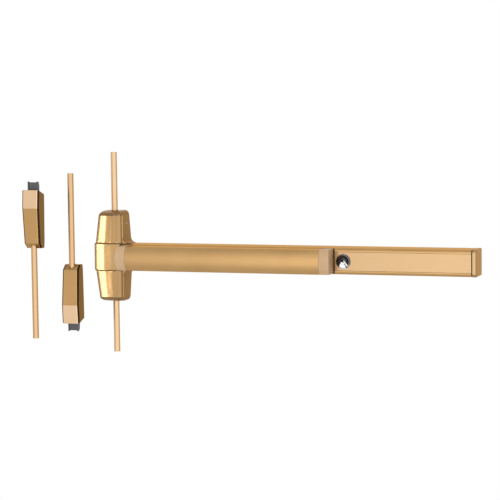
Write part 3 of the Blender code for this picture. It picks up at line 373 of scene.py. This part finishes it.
def mirror_metal(name, colour, shade):
    """Polished plate with faint wipe marks and smudges, its face painted with a dark reflection but for a
    bright wedge and streak.
    """
    g = material(name)
    wipes = g.noise(WIPE_CELLS)
    smudge = g.noise(SMUDGE_CELLS)
    polish = g.mix(g.between(smudge, *SMUDGES, 0.0, SMUDGE), opaque(colour), opaque(colour, SMUDGE_TONE))

    low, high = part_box("lock_cylinder")
    middle = (low + high) / 2
    place = g.split(g.where())
    across = g.calc("ADD", place["X"], -middle.x - PATCH[0])
    above = g.calc("ADD", place["Z"], -middle.z - PATCH[1])
    flank = g.calc("ADD", g.calc("ABSOLUTE", across), g.product(above, PATCH_SLOPE))
    reflection_patch = g.product(g.between(flank, PATCH_HALF + PATCH_BLEND, PATCH_HALF),
                      g.between(above, PATCH_TALL + PATCH_BLEND, PATCH_TALL))

    slanted = g.calc("ADD", place["X"], g.product(place["Z"], STROKE_SLOPE))
    beside = g.calc("ABSOLUTE", g.calc("ADD", slanted, -middle.x - STROKE))
    start = g.between(place["X"], *(middle.x + offset for offset in STROKE_START))
    reflection_stroke = g.product(g.between(beside, STROKE_EDGE, STROKE_CORE, 0.0, STROKE_SHARE), start)

    # Painted reflection: the face dark, but for the bright wedge and streak
    painted_reflection = g.mix(g.calc("MAXIMUM", reflection_patch, reflection_stroke), opaque(shade), polish)
    front = g.between(g.split(g.normal())["Y"], *FACE)
    g.feed(g.mix(front, polish, painted_reflection), "Base Color")
    g.feed(1.0, "Metallic")
    g.feed(g.between(wipes, *WIPES, *WIPE_ROUGH), "Roughness")
    g.feed(g.bump(wipes, WIPE_DEPTH, WIPE_STRENGTH, g.rounded(RUBBED_WIDTH)), "Normal")
    return g.owner


# Grain: long along one axis, or even
ALONG_X = (24, 2600, 2600)
ALONG_Z = (2600, 2600, 24)
EVEN = (1500, 1500, 1500)

# Tones of each metal: its colour, its deeper clouds and its rubbed edges
WORN = (0.80, 0.58, 0.34)
BRONZE = (0.70, 0.43, 0.185), (0.65, 0.39, 0.16), WORN
PLATE = (0.67, 0.445, 0.24), (0.63, 0.41, 0.215), WORN
CAST = (0.335, 0.190, 0.062), (0.31, 0.174, 0.054), WORN
CAP = (0.57, 0.375, 0.20), (0.53, 0.345, 0.18), WORN
ROD = (0.66, 0.43, 0.235), (0.62, 0.40, 0.21), (0.80, 0.62, 0.42)
# The device's rods: the latch rods' tones made lighter, painted light for the light falling on them
ROD_PAINTED_LIGHTER = (0.75, 0.51, 0.30), (0.70, 0.47, 0.275), (0.84, 0.65, 0.46)
PLATED = (0.56, 0.55, 0.51), (0.48, 0.47, 0.45), (0.72, 0.71, 0.68)
SPRING_STEEL = (0.44, 0.44, 0.46), (0.38, 0.38, 0.40), (0.6, 0.6, 0.6)
SINTERED = (0.145, 0.145, 0.15), (0.11, 0.11, 0.12), (0.26, 0.26, 0.27)
# The plastic's colour and its deeper clouds; the polished plate and the painted dark reflection on its face
MOULDED = (0.62, 0.41, 0.225), (0.57, 0.37, 0.20)
CHROME = (0.80, 0.80, 0.80), (0.020, 0.016, 0.015)

# Colour of the light that glances off
GLANCE = (0.55, 0.36, 0.16)
CASE_GLANCE = (0.74, 0.52, 0.28)
ROD_GLANCE = (0.5, 0.34, 0.18)

# Widths over which the cover's facets, and its steps and corners, are rounded
COVER_SOFTEN = (0.010, 0.0014)

finishes = {
    "case": satin_metal("bronze_extruded", BRONZE, 0.32, ALONG_X, glance=CASE_GLANCE, brushed=0.65),
    "plate": satin_metal("bronze_plate", PLATE, 0.33, ALONG_X, glance=GLANCE, brushed=0.65),
    "cover": satin_metal("bronze_cast", CAST, 0.25, EVEN, grain_depth=0.000006, coat=1.0, glance=GLANCE,
                         soften=COVER_SOFTEN, wear=0.15),
    "cap": satin_metal("bronze_cap", CAP, 0.28, EVEN, grain_depth=0.00001, coat=0.2, glance=GLANCE),
    "latch": satin_metal("bronze_latch_painted_light", BRONZE, 0.22, ALONG_Z, grain_depth=0.00001, glance=GLANCE,
                         painted_light=latch_painted_light, wear=0.35),
    "rod": satin_metal("bronze_rod", ROD, 0.26, ALONG_Z, glance=ROD_GLANCE, wear=0.3),
    # A lighter copy of the rod finish, painted light on the device's rods
    "stub": satin_metal("bronze_rod_painted_highlight", ROD_PAINTED_LIGHTER, 0.24, ALONG_Z, glance=ROD_GLANCE, wear=0.3),
    "steel": satin_metal("plated_steel", PLATED, 0.36, EVEN),
    "wire": satin_metal("spring_wire", SPRING_STEEL, 0.28, EVEN),
    "bolt": satin_metal("sintered_steel", SINTERED, 0.42, EVEN),
    "end": moulded("moulded_end", *MOULDED),
    "chrome": mirror_metal("polished_chrome", *CHROME),
}

wears = {
    "case": ["mechanism_case", "push_bar"],
    "plate": ["cover_plate"],
    "cover": ["center_case_cover"],
    "cap": ["end_cap"],
    "latch": ["top_latch_cover", "bottom_latch_cover"],
    "rod": ["top_latch_rod", "bottom_latch_rod"],
    "stub": ["top_rod", "bottom_rod"],
    "bolt": ["top_bolt", "bottom_bolt"],
    "end": ["push_bar_end_left", "push_bar_end_right"],
    "chrome": ["lock_cylinder", "cylinder_collar", "key_plug"],
}


def dress():
    """Gives every CAD node its finish: plated steel where no other is named."""
    named = {node: finish for finish, group in wears.items() for node in group}
    for name, node in nodes.items():
        node.data.materials.clear()
        node.data.materials.append(finishes[named.get(name, "steel")])


# Springs: wire coils in the place of the plain CAD solids

# Open turns between the two closed ones, the wire's half thickness, the rise of a closed turn, and the
# steps to a turn and round the wire
OPEN_TURNS = 5
WIRE = 0.00062
END_RISE = WIRE * 1.6
PER_TURN = 28
ROUND = 8
# Shares of their length that the springs keep at full travel
ROD_KEEP = 0.292
BOLT_KEEP = 0.352
# The joint that shortens each spring, the share that it keeps, and whether its upper end stands still
SPRINGS = {
    "top_rod_spring": ("top_rod_draw", ROD_KEEP, False),
    "bottom_rod_spring": ("bottom_rod_draw", ROD_KEEP, True),
    "top_bolt_spring": ("top_bolt_draw", BOLT_KEEP, False),
    "bottom_bolt_spring": ("bottom_bolt_draw", BOLT_KEEP, True),
}


def coil(name, middle, radius, bottom, top):
    """The mesh of an upright compression spring with closed ends, between the heights of its end turns."""
    reach = top - bottom - 2 * END_RISE
    bm = bmesh.new()
    rows = []
    for k in range((OPEN_TURNS + 2) * PER_TURN + 1):
        turn = k / PER_TURN
        climb = min(max(turn - 1, 0), OPEN_TURNS) / OPEN_TURNS
        closed = END_RISE * (min(turn, 1) - 1 + max(turn - 1 - OPEN_TURNS, 0))
        height = bottom + END_RISE + reach * climb + closed
        angle = math.tau * turn
        out = Vector((math.cos(angle), math.sin(angle), 0))
        centre = Vector((middle.x, middle.y, height)) + out * radius
        row = []
        for s in range(ROUND):
            around = math.tau * s / ROUND
            side = out * math.cos(around) + Vector((0, 0, math.sin(around)))
            row.append(bm.verts.new(centre + side * WIRE))
        rows.append(row)
    for before, after in zip(rows, rows[1:]):
        for s in range(ROUND):
            t = (s + 1) % ROUND
            bm.faces.new((before[s], before[t], after[t], after[s]))
    bm.faces.new(rows[0])
    bm.faces.new(rows[-1])
    bmesh.ops.recalc_face_normals(bm, faces=bm.faces)
    mesh = bpy.data.meshes.new(name)
    bm.to_mesh(mesh)
    bm.free()
    mesh.shade_smooth()
    return mesh


def spring(node, joint, keep, fixed_high):
    """A wire spring in the place of its plain CAD solid."""
    low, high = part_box(node)
    middle = (low + high) / 2
    name = f"{node}_wire"
    radius = (high.x - low.x) / 2 - WIRE
    made = add_object(name, coil(name, middle, radius, low.z + WIRE, high.z - WIRE))
    made.data.materials.append(finishes["wire"])
    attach(made, "root")
    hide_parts(node)
    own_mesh(made)


# Stage

# Brightness of the studio round the part, by the turn from the front towards +X, in degrees
AROUND = [(-180, 1.30), (-140, 1.20), (-105, 0.80), (-80, 0.9), (-62, 0.9), (-34, 0.72),
          (-26, 0.66), (-22, 0.88), (-19, 1.20), (-15, 1.52), (-9, 1.56), (0, 1.74),
          (16, 1.70), (34, 1.55), (46, 0.85), (58, 0.45), (84, 0.40), (92, 0.75),
          (118, 0.75), (128, 0.40), (146, 0.65), (158, 1.05), (180, 1.30)]
# Share of that brightness by the sine of the height
UPWARDS = [(-1.0, 0.52), (-0.8, 0.66), (-0.5, 0.92), (-0.25, 1.04),
           (0.15, 1.0), (0.5, 0.86), (0.9, 0.68), (1.0, 0.62)]
# The brightness that a ramp's white stands for
PEAK = 1.8
# The white wall behind the part: its middle's turn, where it fades sideways, and where it fades up and down
WALL_TURN = -161
WALL_SIDES = (24, 11)
WALL_TOP = (11, 3.2)
WALL_FOOT = (-24, -13.5)

# What the floor and the soft boxes stand round, and how far the floor is below the part
MIDDLE = Vector((0.3, -0.03, 0.0))
FLOOR_DROP = 0.9
FLOOR_RADIUS = 1.7
FLOOR_SIDES = 96
FLOOR_GREY = (0.85, 0.85, 0.85)
FLOOR_ROUGH = 0.9

# Soft boxes on the cover alone: turn and height in degrees, distance, size in metres and radiance
SOFT_BOXES = {
    "key": (-41.5, -4, 3.0, (0.68, 2.4), 10.0),
    "strip": (106, 0, 2.8, (0.70, 1.8), 12.0),
}


def ramp(g, value, stops):
    """A grey ramp through stops of (place, brightness), as shares of the peak."""
    low, high = stops[0][0], stops[-1][0]
    made = g.add("ShaderNodeValToRGB", {"Fac": g.between(value, low, high)})
    marks = made.color_ramp.elements
    while len(marks) < len(stops):
        marks.new(0.5)
    for mark, (place, level) in zip(marks, stops):
        mark.position = (place - low) / (high - low)
        mark.color = opaque([level / PEAK] * 3)
    return made.outputs["Color"]


def studio():
    """Soft light from all round, with a white wall behind the part."""
    world = bpy.data.worlds.new("studio")
    bpy.context.scene.world = world
    g = Graph(world, "Background")
    ray = g.split(g.where("Generated"))
    turn = g.product(g.calc("ARCTAN2", ray["X"], g.product(ray["Y"], -1.0)), math.degrees(1))
    shares = g.product(ramp(g, turn, AROUND), ramp(g, ray["Z"], UPWARDS))
    level = g.product(shares, PEAK * PEAK)
    wall = g.fade(g.calc("ABSOLUTE", g.calc("SUBTRACT", turn, WALL_TURN)), *WALL_SIDES)
    for edge in (WALL_TOP, WALL_FOOT):
        heights = [math.sin(math.radians(angle)) for angle in edge]
        wall = g.product(wall, g.fade(ray["Z"], *heights))
    whitened = g.product(g.calc("SUBTRACT", 1.0, level), wall)
    g.feed(g.calc("ADD", level, whitened), "Strength")
    g.feed((1, 1, 1, 1), "Color")


def soft_box(name, turn, height, reach, size, radiance):
    """A soft box on the centre case's cover alone."""
    data = bpy.data.lights.new(name, "AREA")
    data.shape = "RECTANGLE"
    data.size, data.size_y = size
    data.energy = radiance * math.pi * size[0] * size[1]
    made = add_object(name, data)
    out = towards(math.radians(turn), math.radians(height))
    made.location = MIDDLE + out * reach
    made.rotation_euler = out.to_track_quat("Z", "Y").to_euler()
    reached = bpy.data.collections.new(f"{name}_reaches")
    reached.objects.link(nodes["center_case_cover"])
    made.light_linking.receiver_collection = reached


def stage():
    """A pale floor far below, the studio and its soft boxes."""
    bpy.ops.mesh.primitive_circle_add(vertices=FLOOR_SIDES, radius=FLOOR_RADIUS, fill_type="NGON",
                                      location=(MIDDLE.x, 0, cad_box[0][2] - FLOOR_DROP))
    floor = bpy.context.object
    floor.name = "floor"
    g = material("pale_floor")
    g.feed(opaque(FLOOR_GREY), "Base Color")
    g.feed(FLOOR_ROUGH, "Roughness")
    floor.data.materials.append(g.owner)
    studio()
    for name, settings in SOFT_BOXES.items():
        soft_box(name, *settings)


bpy.context.scene.view_settings.view_transform = "Standard"
camera()
dress()
for node, settings in SPRINGS.items():
    spring(node, *settings)
stage()
